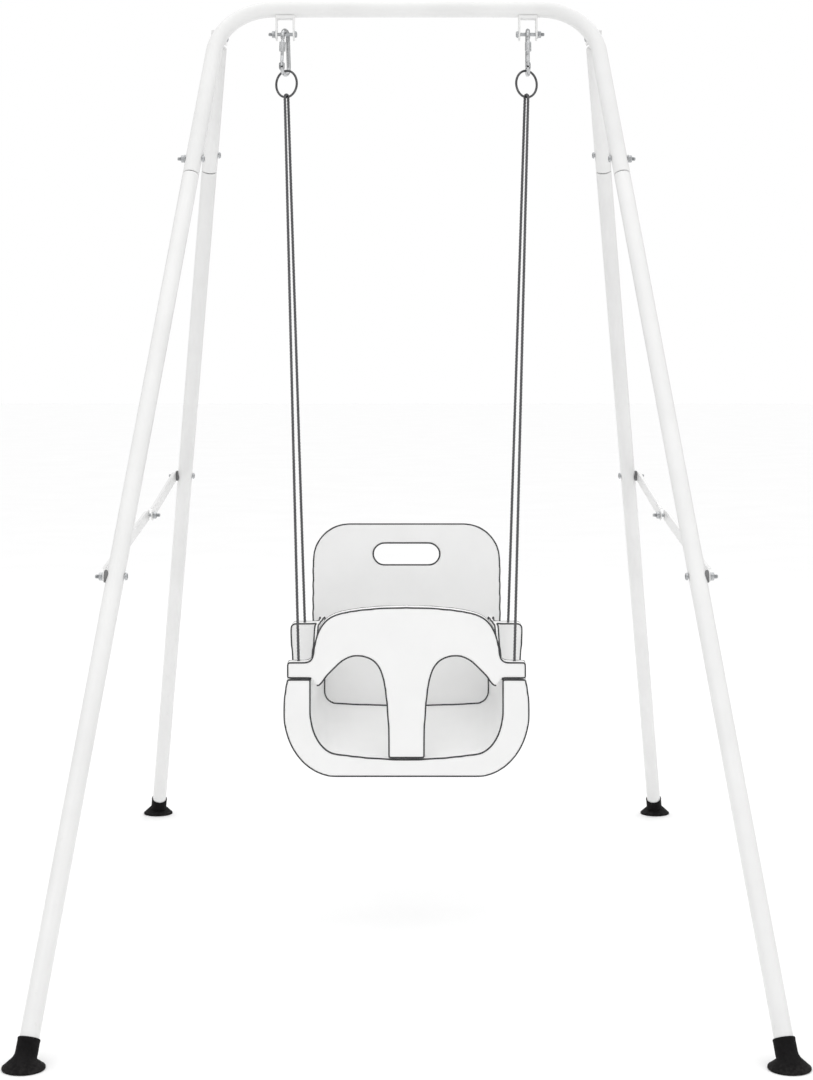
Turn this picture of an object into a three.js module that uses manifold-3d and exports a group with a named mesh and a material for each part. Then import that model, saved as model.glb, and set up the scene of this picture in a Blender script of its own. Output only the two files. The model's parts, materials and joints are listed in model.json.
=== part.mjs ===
// Toddler swing stand with a moulded bucket seat, in millimetres.
// X runs along the top bar, -Y is the front, +Z is up, and the floor is Z = 0 with the origin
// midway between the four feet. A bent front tube carries the seat; each rear leg folds forward
// on a hinge behind the tube's bend, held open by a two-piece brace that folds in the middle.

import * as THREE from 'three';
import { mergeVertices } from 'three/addons/utils/BufferGeometryUtils.js';
import Module from 'manifold-3d';

const wasm = await Module();
wasm.setup();

// ---------------------------------------------------------------- driving dimensions
const GAP = 0.3;                    // between solids that touch on the real object

const tube = { radius: 13, inner: 11.4, sides: 12 };
const barHeight = 1492;             // centre of the top bar
const topHalfWidth = 305;           // where the leg axis meets the bar axis
const footHalfWidth = 497;          // where the leg axis meets the floor
const footReach = 762;              // front and rear feet, from the bar's plane
const bendRadius = 95;
const frontJoint = 319;             // telescopic joint, measured down the leg from the bar
const rearJoint = 237;              // the same, measured down the rear leg from its hinge
const spigot = { radius: 10.7, inner: 9.2, length: 55 };
const boltAboveJoint = 28;

const hinge = { x: 309, y: 10, z: 1445 };   // rear leg hinge, behind the bend
const barrel = { radius: 10, length: 18, neck: 7.6, shoulder: 4, play: 0.4 };
const hingeEar = { thickness: 2.5, radius: 11.5, frontDrop: 5, front: -16, webGap: 2.5 };
const rivet = { head: 5, crown: 3.2, edge: 1.2, height: 2.6 };

const foot = { flange: 28.5, rim: 2.5, cone: 13, sleeve: 15, sleeveLength: 39, legEnd: 14 };

const bolt = {
  sides: 8, radius: 3, hole: 3.4, holeReach: 40,
  head: 5.5, headHeight: 3.5, nut: 5.6, nutHeight: 6, tip: 6,
};

const hanger = { x: 200, drop: 28, earGap: 25.4, earThickness: 3, earHalf: 11, plate: 3 };
const carabiner = { wire: 3.5, height: 80, topRadius: 10, bottomRadius: 13.5, turn: -22 };
const gate = { radius: 2.9, sleeve: 5.4, sleeveLength: 16, pivotHeight: -21, endHeight: 20 };
const ring = { radius: 21.8, wire: 1.9, turn: 36, x: 198 };
const rope = { radius: 2.5, hole: 3.6, spacing: 2.7, sides: 8, steps: 10 };

const link = { half: 9, depth: 6, web: 1.6, flange: 1.5, flangeStart: 12, clear: 2.4 };
const saddle = { radius: 9.5, start: 9 };
const frontPinHeight = 605.6;       // where the braces are bolted to the front legs
const rearPinHeight = 698.5;        // and to the rear legs
const midPin = { y: 31.5, z: 655.5 };

const seat = {
  rimFront: -112, rimBack: -86,
  outerHalf: 197, outerBottom: 248, outerCorner: { x: 85, z: 103 }, flare: 6,
  innerHalf: 153, innerBottom: 277, innerCorner: { x: 45, z: 68 }, crown: 8,
  rimTop: 404.7, wall: 7, back: 98, backThickness: 9, backTilt: 6,
  panRise: 53, rearHalf: 140, rearCorner: { x: 20, z: 20 }, rearCrown: 3,
  backTop: 635, backCorner: 62, slotHeight: 583, slotRadius: 17.8, slotHalf: 38.5,
  earTop: 474, earBottom: 400, earInside: 146, earHalf: 194, earCorner: 9, earY: 60, earDepth: 30,
  frontRope: { x: 172, y: -99 }, rearRope: { x: 170, y: 60 },
};
const guard = {
  front: -112, thickness: 26, endTop: 432, endHalf: 190.8, top: 520,
  stem: 29, stemClear: 1, archTop: 441, slotSpread: 5,
};

// ---------------------------------------------------------------- materials
const white = new THREE.MeshStandardMaterial({ color: 0xf0f0ee, roughness: 0.38, metalness: 0.1 });
const steel = new THREE.MeshStandardMaterial({ color: 0x9a9c9e, roughness: 0.3, metalness: 0.9 });
const rubber = new THREE.MeshStandardMaterial({ color: 0x211e20, roughness: 0.85, metalness: 0 });
const plastic = new THREE.MeshStandardMaterial({ color: 0xf4f4f2, roughness: 0.42, metalness: 0 });
const cord = new THREE.MeshStandardMaterial({ color: 0x3a3a3c, roughness: 0.95, metalness: 0 });
const darkSteel = new THREE.MeshStandardMaterial({ color: 0x4c4c4e, roughness: 0.4, metalness: 0.8 });

// ---------------------------------------------------------------- geometry helpers
function signedVolume(geometry) {
  const position = geometry.attributes.position;
  const index = geometry.index;
  const a = new THREE.Vector3();
  const b = new THREE.Vector3();
  const c = new THREE.Vector3();
  let total = 0;
  for (let i = 0; i < index.count; i += 3) {
    a.fromBufferAttribute(position, index.getX(i));
    b.fromBufferAttribute(position, index.getX(i + 1));
    c.fromBufferAttribute(position, index.getX(i + 2));
    total += a.dot(b.cross(c)) / 6;
  }
  return total;
}

// One indexed geometry with positions only, shared vertices merged and faces pointing out.
function closed(geometry) {
  const bare = geometry.clone();
  bare.deleteAttribute('normal');
  bare.deleteAttribute('uv');
  const merged = mergeVertices(bare, 1e-3);
  if (signedVolume(merged) < 0) {
    const index = merged.index.array;
    for (let i = 0; i < index.length; i += 3) {
      [index[i], index[i + 1]] = [index[i + 1], index[i]];
    }
  }
  return merged;
}

function solid(geometry) {
  const merged = closed(geometry);
  const mesh = new wasm.Mesh({
    numProp: 3,
    vertProperties: new Float32Array(merged.attributes.position.array),
    triVerts: new Uint32Array(merged.index.array),
  });
  return new wasm.Manifold(mesh);
}

function geometryOf(body) {
  const mesh = body.getMesh();
  const geometry = new THREE.BufferGeometry();
  geometry.setAttribute('position', new THREE.BufferAttribute(mesh.vertProperties, 3));
  geometry.setIndex(new THREE.BufferAttribute(mesh.triVerts, 1));
  return geometry;
}

function join(...geometries) {
  return geometryOf(geometries.map(solid).reduce((whole, part) => whole.add(part)));
}

function cut(geometry, ...tools) {
  return geometryOf(tools.map(solid).reduce((whole, tool) => whole.subtract(tool), solid(geometry)));
}

function keep(geometry, tool) {
  return geometryOf(solid(geometry).intersect(solid(tool)));
}

function vec(x, y, z) {
  return new THREE.Vector3(x, y, z);
}

// A solid of revolution about +Y, from a closed profile of [radius, height] pairs.
function turned(profile, segments = 16) {
  const points = profile.map(([radius, height]) => new THREE.Vector2(radius, height));
  return new THREE.LatheGeometry(points, segments);
}

// Turns and moves a geometry so that its +Y runs from one point towards another.
function along(geometry, from, to) {
  const direction = to.clone().sub(from).normalize();
  const quaternion = new THREE.Quaternion().setFromUnitVectors(vec(0, 1, 0), direction);
  return geometry.applyQuaternion(quaternion).translate(from.x, from.y, from.z);
}

function rod(from, to, radius, sides = 12) {
  const length = from.distanceTo(to);
  const profile = [[0, 0], [radius, 0], [radius, length], [0, length]];
  return along(turned(profile, sides), from, to);
}

function box(x0, x1, y0, y1, z0, z1) {
  const geometry = new THREE.BoxGeometry(x1 - x0, y1 - y0, z1 - z0);
  return geometry.translate((x0 + x1) / 2, (y0 + y1) / 2, (z0 + z1) / 2);
}

// A path through given stations, one step of the extrusion for each, so straights cost nothing.
class StationPath extends THREE.Curve {
  constructor(stations) {
    super();
    this.stations = stations;
  }
  getPointAt(u, target = new THREE.Vector3()) {
    const place = u * (this.stations.length - 1);
    const index = Math.min(Math.floor(place + 1e-9), this.stations.length - 2);
    return target.lerpVectors(this.stations[index], this.stations[index + 1], place - index);
  }
  getTangentAt(u, target = new THREE.Vector3()) {
    const index = Math.round(u * (this.stations.length - 1));
    const last = this.stations.length - 1;
    const before = this.stations[Math.max(index - 1, 0)];
    const after = this.stations[Math.min(index + 1, last)];
    const here = this.stations[index];
    const inward = here.clone().sub(before).normalize();
    const outward = after.clone().sub(here).normalize();
    return target.copy(inward.add(outward).normalize());
  }
}

function circle(radius, sides, ShapeType = THREE.Shape) {
  const shape = new ShapeType();
  for (let i = 0; i <= sides; i += 1) {
    const angle = (i / sides) * 2 * Math.PI;
    const place = [radius * Math.cos(angle), radius * Math.sin(angle)];
    if (i === 0) {
      shape.moveTo(...place);
    } else {
      shape.lineTo(...place);
    }
  }
  return shape;
}

function pipe(stations, radius, innerRadius, sides) {
  const section = circle(radius, sides);
  if (innerRadius > 0) {
    section.holes.push(circle(innerRadius, sides, THREE.Path));
  }
  const options = { extrudePath: new StationPath(stations), steps: stations.length - 1 };
  return new THREE.ExtrudeGeometry(section, { ...options, bevelEnabled: false });
}

// A flat outline drawn in X and Z, given its thickness along +Y from a start plane.
function slab(shape, start, thickness, curveSegments = 6) {
  const options = { depth: thickness, bevelEnabled: false, curveSegments };
  const geometry = new THREE.ExtrudeGeometry(shape, options);
  return geometry.rotateX(Math.PI / 2).translate(0, start + thickness, 0);
}

// The points of an outline, without the near repeats where one of its curves meets the next.
function outlinePoints(shape, divisions) {
  const points = shape.getPoints(divisions);
  return points.filter((point, i) => point.distanceTo(points[(i + 1) % points.length]) > 1e-6);
}

// A closed body between two outlines drawn in X and Z, made by the same commands, at two Y planes.
function lofted(startShape, endShape, startY, endY, divisions = 12) {
  const start = outlinePoints(startShape, divisions);
  const end = outlinePoints(endShape, divisions);
  const count = start.length;
  const positions = [];
  start.forEach((point) => positions.push(point.x, startY, point.y));
  end.forEach((point) => positions.push(point.x, endY, point.y));
  const index = [];
  for (const [a, b, c] of THREE.ShapeUtils.triangulateShape(start, [])) {
    index.push(a, b, c);
  }
  for (const [a, b, c] of THREE.ShapeUtils.triangulateShape(end, [])) {
    index.push(count + a, count + c, count + b);
  }
  const anticlockwise = !THREE.ShapeUtils.isClockWise(start);
  for (let i = 0; i < count; i += 1) {
    const next = (i + 1) % count;
    const [a, b] = anticlockwise ? [i, next] : [next, i];
    index.push(b, a, count + a, b, count + a, count + b);
  }
  const geometry = new THREE.BufferGeometry();
  geometry.setAttribute('position', new THREE.Float32BufferAttribute(positions, 3));
  return geometry.setIndex(index);
}

// A flat outline drawn in Y and Z, given its thickness along +X from a start plane.
function plate(shape, start, thickness, curveSegments = 4) {
  const options = { depth: thickness, bevelEnabled: false, curveSegments };
  const geometry = new THREE.ExtrudeGeometry(shape, options);
  const turn = new THREE.Matrix4().makeBasis(vec(0, 1, 0), vec(0, 0, 1), vec(1, 0, 0));
  return geometry.applyMatrix4(turn).translate(start, 0, 0);
}

const object = new THREE.Group();

function add(name, geometry, material, parent = object) {
  const mesh = new THREE.Mesh(closed(geometry), material);
  mesh.name = name;
  parent.add(mesh);
  return mesh;
}

const sides = [['left', -1], ['right', 1]];

// ---------------------------------------------------------------- leg axes
const tilt = Math.atan2(footReach, barHeight);
const planeLength = Math.hypot(footReach, barHeight);
const flare = Math.atan2(footHalfWidth - topHalfWidth, planeLength);

// A point of the front frame's plane: x across, fall measured down the slope from the bar.
function onFront(x, fall) {
  return vec(x, -fall * Math.sin(tilt), barHeight - fall * Math.cos(tilt));
}

function frontLegPoint(side, distance) {
  const x = topHalfWidth + distance * Math.sin(flare);
  return onFront(side * x, distance * Math.cos(flare));
}

const frontLegLength = planeLength / Math.cos(flare);

function rearFoot(side) {
  return vec(side * footHalfWidth, footReach, 0);
}

function rearHinge(side) {
  return vec(side * hinge.x, hinge.y, hinge.z);
}

const rearLegLength = rearHinge(1).distanceTo(rearFoot(1));

function rearLegPoint(side, distance) {
  return rearHinge(side).lerp(rearFoot(side), distance / rearLegLength);
}

// Where a leg's axis passes a given height.
function legAt(point, side, height) {
  const top = point(side, 0);
  const next = point(side, 100);
  return point(side, (100 * (top.z - height)) / (top.z - next.z));
}

// ---------------------------------------------------------------- bolts along X
// Head towards the middle of the stand, nut and thread end on the outside.
function crossBolt(from, to, side, gapAtHead = GAP, gapAtNut = GAP) {
  const inner = vec(from.x - side * gapAtHead, from.y, from.z);
  const grip = Math.abs(to.x - from.x) + gapAtHead + gapAtNut;
  const nutTop = grip + bolt.nutHeight;
  const profile = [
    [0, -bolt.headHeight], [bolt.head * 0.55, -bolt.headHeight], [bolt.head, -bolt.headHeight * 0.35],
    [bolt.head, 0], [bolt.radius, 0], [bolt.radius, grip], [bolt.nut, grip], [bolt.nut, nutTop],
    [bolt.radius, nutTop], [bolt.radius, nutTop + bolt.tip], [0, nutTop + bolt.tip],
  ];
  return along(turned(profile, bolt.sides), inner, vec(inner.x + side, inner.y, inner.z));
}

function boltHole(centre) {
  const from = vec(centre.x - bolt.holeReach, centre.y, centre.z);
  const to = vec(centre.x + bolt.holeReach, centre.y, centre.z);
  return rod(from, to, bolt.hole, bolt.sides);
}

// How far a flat face has to stand from a leg's axis, along X, to clear the leaning tube.
function legSurface(point, side) {
  const direction = point(side, 100).sub(point(side, 0)).normalize();
  const lean = Math.sqrt(1 - direction.x * direction.x);
  return (tube.radius + bolt.head * Math.abs(direction.x)) / lean;
}

// ---------------------------------------------------------------- top tube
function topStations() {
  const turnAngle = Math.PI / 2 - flare;
  const tangent = bendRadius * Math.tan(turnAngle / 2);
  const stations = [];
  for (const [, side] of sides) {
    const half = [];
    const steps = 10;
    for (let i = 0; i <= steps; i += 1) {
      const angle = (i / steps) * turnAngle;
      const x = topHalfWidth - tangent + bendRadius * Math.sin(angle);
      half.push(onFront(side * x, bendRadius * (1 - Math.cos(angle))));
    }
    half.push(frontLegPoint(side, frontJoint));
    stations.push(...(side < 0 ? half.reverse() : half));
  }
  return stations;
}

const topPath = topStations();
const frontBolts = sides.map(([, side]) => frontLegPoint(side, frontJoint - boltAboveJoint));
const topTube = pipe(topPath, tube.radius, tube.inner, tube.sides);
add('top_tube', cut(topTube, ...frontBolts.map(boltHole)), white);
const fatTopTube = pipe(topPath, tube.radius + GAP, 0, tube.sides);

// ---------------------------------------------------------------- legs and feet
// A leg tube from its rubber foot up to the joint, with a reduced end that enters the tube above.
function legTube(footPoint, jointPoint) {
  const start = foot.legEnd;
  const end = footPoint.distanceTo(jointPoint) - GAP;
  const top = end + spigot.length;
  const profile = [
    [tube.inner, start], [tube.radius, start], [tube.radius, end], [spigot.radius, end],
    [spigot.radius, top], [spigot.inner, top], [spigot.inner, end - 4], [tube.inner, end - 8],
    [tube.inner, start],
  ];
  return along(turned(profile, tube.sides), footPoint, jointPoint);
}

// A flange flat on the floor and a sleeve that leans with the leg.
function rubberFoot(footPoint, upward) {
  const ground = footPoint.clone();
  const reach = ground.clone().lerp(upward, foot.sleeveLength / ground.distanceTo(upward));
  const flangeProfile = [
    [0, 0], [foot.flange, 0], [foot.flange, foot.rim], [foot.flange - 3, foot.rim + 2.5],
    [foot.sleeve + 2, foot.cone], [0, foot.cone],
  ];
  const flange = along(turned(flangeProfile, 16), ground, ground.clone().add(vec(0, 0, 1)));
  const sleeve = rod(ground, reach, foot.sleeve, 14);
  const wholeSleeve = keep(sleeve, box(-800, 800, -1000, 1000, 0, 200));
  const direction = upward.clone().sub(ground).normalize();
  const boreStart = ground.clone().addScaledVector(direction, foot.legEnd - GAP);
  const bore = rod(boreStart, upward, tube.radius + GAP, 12);
  return cut(join(flange, wholeSleeve), bore);
}

sides.forEach(([label, side], i) => {
  const footPoint = frontLegPoint(side, frontLegLength);
  const jointPoint = frontLegPoint(side, frontJoint);
  const pinPoint = legAt(frontLegPoint, side, frontPinHeight);
  const leg = legTube(footPoint, jointPoint);
  add(`front_leg_${label}`, cut(leg, boltHole(frontBolts[i]), boltHole(pinPoint)), white);
  add(`front_foot_${label}`, rubberFoot(footPoint, jointPoint), rubber);
  const reach = legSurface(frontLegPoint, side);
  const centre = frontBolts[i];
  const inside = vec(centre.x - side * reach, centre.y, centre.z);
  const outside = vec(centre.x + side * reach, centre.y, centre.z);
  add(`front_joint_bolt_${label}`, crossBolt(inside, outside, side), steel);
});

// ---------------------------------------------------------------- rear legs and their hinges
// The upper rear tube ends in a neck and a barrel that turns on the hinge pin.
function rearStub(side) {
  const top = rearLegPoint(side, barrel.radius + barrel.shoulder);
  const joint = rearLegPoint(side, rearJoint);
  const length = top.distanceTo(joint);
  const profile = [
    [0, 0], [tube.radius - 3, 0], [tube.radius, 4], [tube.radius, length], [tube.inner, length],
    [tube.inner, 6], [0, 6],
  ];
  const body = along(turned(profile, tube.sides), top, joint);
  const neckEnd = rearLegPoint(side, barrel.radius + barrel.shoulder + 3);
  const neck = rod(rearLegPoint(side, 3), neckEnd, barrel.neck, 10);
  const half = barrel.length / 2;
  const centre = rearHinge(side);
  const from = vec(centre.x - half, centre.y, centre.z);
  const eye = rod(from, vec(centre.x + half, centre.y, centre.z), barrel.radius, 14);
  const slice = box(-600, 600, -100, 400, 1000, centre.z);
  return join(body, keep(neck, slice), eye);
}

// Two ears on a web that is welded to the back of the bend.
function hingeBracket(side) {
  const centre = rearHinge(side);
  const earInside = barrel.length / 2 + barrel.play;
  const outline = new THREE.Shape();
  outline.moveTo(hingeEar.front, centre.z - hingeEar.frontDrop);
  outline.lineTo(centre.y, centre.z - hingeEar.radius);
  outline.absarc(centre.y, centre.z, hingeEar.radius, -Math.PI / 2, Math.PI / 2, false);
  outline.lineTo(hingeEar.front, centre.z + hingeEar.radius);
  const innerEar = plate(outline, centre.x - earInside - hingeEar.thickness, hingeEar.thickness);
  const outerEar = plate(outline, centre.x + earInside, hingeEar.thickness);
  const width = earInside + hingeEar.thickness;
  const webEnd = centre.y - barrel.radius - hingeEar.webGap;
  const low = centre.z - hingeEar.frontDrop;
  const high = centre.z + hingeEar.radius;
  const web = box(centre.x - width, centre.x + width, hingeEar.front, webEnd, low, high);
  return cut(join(innerEar, outerEar, web), fatTopTube, boltHole(centre));
}

// A rivet with a low head on both ears.
function hingePin(side) {
  const centre = rearHinge(side);
  const half = barrel.length / 2 + barrel.play + hingeEar.thickness + GAP;
  const edge = half + rivet.edge;
  const crown = half + rivet.height;
  const profile = [
    [0, -crown], [rivet.crown, -crown], [rivet.head, -edge], [rivet.head, -half],
    [bolt.radius, -half], [bolt.radius, half], [rivet.head, half], [rivet.head, edge],
    [rivet.crown, crown], [0, crown],
  ];
  return along(turned(profile, bolt.sides), centre, vec(centre.x + 1, centre.y, centre.z));
}

sides.forEach(([label, side]) => {
  const jointPoint = rearLegPoint(side, rearJoint);
  const boltPoint = rearLegPoint(side, rearJoint - boltAboveJoint);
  const pinPoint = legAt(rearLegPoint, side, rearPinHeight);
  const stub = cut(rearStub(side), boltHole(rearHinge(side)), boltHole(boltPoint));
  const leg = legTube(rearFoot(side), jointPoint);
  add(`hinge_bracket_${label}`, hingeBracket(side), white);
  add(`hinge_pin_${label}`, hingePin(side), steel);
  add(`rear_top_tube_${label}`, stub, white);
  add(`rear_leg_${label}`, cut(leg, boltHole(boltPoint), boltHole(pinPoint)), white);
  add(`rear_foot_${label}`, rubberFoot(rearFoot(side), jointPoint), rubber);
  const reach = legSurface(rearLegPoint, side);
  const inside = vec(boltPoint.x - side * reach, boltPoint.y, boltPoint.z);
  const outside = vec(boltPoint.x + side * reach, boltPoint.y, boltPoint.z);
  add(`rear_joint_bolt_${label}`, crossBolt(inside, outside, side), steel);
});

// ---------------------------------------------------------------- folding braces
// A pressed channel from one pin to the next: a web with round ends, which faces the legs,
// and two flanges that stand out from its straight edges.
function channelLink(start, end, side) {
  const length = Math.hypot(end.y - start.y, end.z - start.z);
  const slope = Math.atan2(end.z - start.z, end.y - start.y);
  const outline = new THREE.Shape();
  outline.absarc(0, 0, link.half, Math.PI / 2, (3 * Math.PI) / 2, false);
  outline.absarc(length, 0, link.half, -Math.PI / 2, Math.PI / 2, false);
  outline.closePath();
  for (const place of [0, length]) {
    const hole = new THREE.Path();
    hole.absarc(place, 0, bolt.hole, 0, 2 * Math.PI, true);
    outline.holes.push(hole);
  }
  const web = plate(outline, 0, link.web);
  const flangeEnd = length - link.flangeStart;
  const root = link.web / 2;
  const inner = link.half - link.flange;
  const upper = box(root, link.depth, link.flangeStart, flangeEnd, inner, link.half);
  const lower = box(root, link.depth, link.flangeStart, flangeEnd, -link.half, -inner);
  const whole = join(web, upper, lower);
  whole.scale(side, 1, 1);
  const lean = new THREE.Matrix4().makeShear(0, 0, (end.x - start.x) / length, 0, 0, 0);
  whole.applyMatrix4(lean);
  whole.rotateX(slope);
  return whole.translate(start.x, start.y, start.z);
}

// A rubber saddle that fits the round leg and gives the link a flat seat.
function rubberSaddle(point, side, pin, faceX) {
  const from = vec(pin.x + side * saddle.start, pin.y, pin.z);
  const disc = rod(from, vec(faceX - side * GAP, pin.y, pin.z), saddle.radius, 12);
  const leg = rod(point(side, 0), point(side, frontLegLength), tube.radius + 2 * GAP, 16);
  return cut(disc, leg, boltHole(pin));
}

sides.forEach(([label, side]) => {
  const frontAxis = legAt(frontLegPoint, side, frontPinHeight);
  const rearAxis = legAt(rearLegPoint, side, rearPinHeight);
  const frontFace = frontAxis.x + side * (legSurface(frontLegPoint, side) + link.clear);
  const rearFace = rearAxis.x + side * (legSurface(rearLegPoint, side) + link.clear);
  const midFace = rearFace + side * (link.depth + 2 * GAP);
  const frontAt = vec(frontFace, frontAxis.y, frontAxis.z);
  const rearAt = vec(rearFace, rearAxis.y, rearAxis.z);
  const midFront = vec(midFace, midPin.y, midPin.z);
  const midRear = vec(rearFace, midPin.y, midPin.z);
  add(`front_link_${label}`, channelLink(frontAt, midFront, side), white);
  add(`rear_link_${label}`, channelLink(rearAt, midRear, side), white);

  add(`front_saddle_${label}`, rubberSaddle(frontLegPoint, side, frontAxis, frontFace), rubber);
  add(`rear_saddle_${label}`, rubberSaddle(rearLegPoint, side, rearAxis, rearFace), rubber);

  const frontInside = frontAxis.clone();
  frontInside.x -= side * legSurface(frontLegPoint, side);
  const rearInside = rearAxis.clone();
  rearInside.x -= side * legSurface(rearLegPoint, side);
  const frontOutside = vec(frontFace + side * link.web, frontAxis.y, frontAxis.z);
  const rearOutside = vec(rearFace + side * link.web, rearAxis.y, rearAxis.z);
  add(`front_brace_bolt_${label}`, crossBolt(frontInside, frontOutside, side), steel);
  add(`rear_brace_bolt_${label}`, crossBolt(rearInside, rearOutside, side), steel);

  // The middle bolt is in two halves that meet end to end between the two links.
  const headSide = vec(midFace + side * (link.web + GAP), midPin.y, midPin.z);
  const headProfile = [
    [0, -link.web - GAP], [bolt.radius, -link.web - GAP], [bolt.radius, 0], [bolt.head, 0],
    [bolt.head, bolt.headHeight * 0.65], [bolt.head * 0.55, bolt.headHeight], [0, bolt.headHeight],
  ];
  const outward = vec(headSide.x + side, headSide.y, headSide.z);
  add(`brace_bolt_head_${label}`, along(turned(headProfile, bolt.sides), headSide, outward), steel);
  const nutSide = vec(rearFace - side * GAP, midPin.y, midPin.z);
  const threadEnd = bolt.nutHeight + bolt.tip;
  const nutProfile = [
    [0, -link.depth - GAP], [bolt.radius, -link.depth - GAP], [bolt.radius, 0], [bolt.nut, 0],
    [bolt.nut, bolt.nutHeight], [bolt.radius, bolt.nutHeight], [bolt.radius, threadEnd],
    [0, threadEnd],
  ];
  const inward = vec(nutSide.x - side, nutSide.y, nutSide.z);
  add(`brace_bolt_nut_${label}`, along(turned(nutProfile, bolt.sides), nutSide, inward), steel);
});

// ---------------------------------------------------------------- hanger brackets
const hangerAxis = barHeight - tube.radius - hanger.drop;

sides.forEach(([label, side]) => {
  const centre = side * hanger.x;
  const half = hanger.earGap / 2 + hanger.earThickness;
  const plateTop = barHeight - tube.radius + 2.5;
  const outline = new THREE.Shape();
  outline.moveTo(-hanger.earHalf, plateTop);
  outline.lineTo(-hanger.earHalf, hangerAxis);
  outline.absarc(0, hangerAxis, hanger.earHalf, Math.PI, 2 * Math.PI, false);
  outline.lineTo(hanger.earHalf, plateTop);
  outline.closePath();
  const firstEar = plate(outline, centre - half, hanger.earThickness);
  const secondEar = plate(outline, centre + half - hanger.earThickness, hanger.earThickness);
  const plateBottom = barHeight - tube.radius - hanger.plate;
  const base = box(centre - half, centre + half, -hanger.earHalf, hanger.earHalf, plateBottom, plateTop);
  const hole = boltHole(vec(centre, 0, hangerAxis));
  add(`hanger_bracket_${label}`, cut(join(firstEar, secondEar, base), fatTopTube, hole), white);
  const inside = vec(centre - side * half, 0, hangerAxis);
  const outside = vec(centre + side * half, 0, hangerAxis);
  add(`hanger_bolt_${label}`, crossBolt(inside, outside, side), steel);
});

// ---------------------------------------------------------------- carabiners, rings
// The carabiner's plane is local Y and Z, gate towards -Y, centre at the origin.
function carabinerBody() {
  const reach = carabiner.height / 2 - carabiner.wire;
  const topCentre = reach - carabiner.topRadius;
  const bottomCentre = carabiner.bottomRadius - reach;
  const stations = [vec(0, -carabiner.topRadius, gate.endHeight + 2 * GAP)];
  const turns = 8;
  for (let i = 0; i <= turns; i += 1) {
    const angle = Math.PI - (i / turns) * Math.PI;
    const y = carabiner.topRadius * Math.cos(angle);
    stations.push(vec(0, y, topCentre + carabiner.topRadius * Math.sin(angle)));
  }
  for (let i = 0; i <= turns; i += 1) {
    const angle = -(i / turns) * Math.PI;
    const y = carabiner.bottomRadius * Math.cos(angle);
    stations.push(vec(0, y, bottomCentre + carabiner.bottomRadius * Math.sin(angle)));
  }
  stations[stations.length - 1].z = gate.pivotHeight - 4.6;
  return pipe(stations.reverse(), carabiner.wire, 0, 8);
}

function gateEnds() {
  const bottom = vec(0, -carabiner.bottomRadius, gate.pivotHeight);
  const top = vec(0, -carabiner.topRadius, gate.endHeight);
  return { bottom, top };
}

function carabinerGate() {
  const { bottom, top } = gateEnds();
  const length = bottom.distanceTo(top);
  const sleeveTop = length - 4;
  const sleeveBottom = sleeveTop - gate.sleeveLength;
  const profile = [
    [0, -3.2], [gate.radius, -3.2], [gate.radius, sleeveBottom], [gate.sleeve, sleeveBottom + 1],
    [gate.sleeve, sleeveTop - 1], [gate.radius, sleeveTop], [gate.radius, length], [0, length],
  ];
  return along(turned(profile, 10), bottom, top);
}

const boltTop = hangerAxis + bolt.radius;
const carabinerZ = boltTop + GAP - (carabiner.height / 2 - 2 * carabiner.wire);
const carabinerFloor = carabinerZ - (carabiner.height / 2 - 2 * carabiner.wire);
const ringZ = carabinerFloor + 3 * GAP - (ring.radius - ring.wire);

sides.forEach(([label, side]) => {
  const holder = new THREE.Group();
  holder.position.set(side * hanger.x, 0, carabinerZ);
  holder.rotation.z = THREE.MathUtils.degToRad(side < 0 ? carabiner.turn : 0);
  object.add(holder);
  add(`carabiner_${label}`, carabinerBody(), steel, holder);
  add(`carabiner_gate_${label}`, carabinerGate(), steel, holder);

  const hoop = new THREE.TorusGeometry(ring.radius, ring.wire, 6, 24);
  const hoopMesh = add(`ring_${label}`, hoop, darkSteel);
  hoopMesh.rotation.set(Math.PI / 2, 0, 0);
  hoopMesh.rotation.order = 'ZYX';
  hoopMesh.rotation.z = THREE.MathUtils.degToRad(side * ring.turn);
  hoopMesh.position.set(side * ring.x, 0, ringZ);
});

// ---------------------------------------------------------------- seat shell
// A U with a slightly crowned bottom, elliptical corners, and sides that draw in towards the top.
function cradle(half, bottom, corner, top, crown = 0, flare = 0) {
  const low = bottom + crown;
  const high = low + corner.z;
  const middle = (top + high) / 2;
  const shape = new THREE.Shape();
  shape.moveTo(flare - half, top);
  shape.quadraticCurveTo(-half, middle, -half, high);
  shape.absellipse(corner.x - half, high, corner.x, corner.z, Math.PI, 1.5 * Math.PI, false);
  shape.quadraticCurveTo(0, bottom - crown, half - corner.x, low);
  shape.absellipse(half - corner.x, high, corner.x, corner.z, 1.5 * Math.PI, 2 * Math.PI, false);
  shape.quadraticCurveTo(half, middle, half - flare, top);
  shape.closePath();
  return shape;
}

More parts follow.
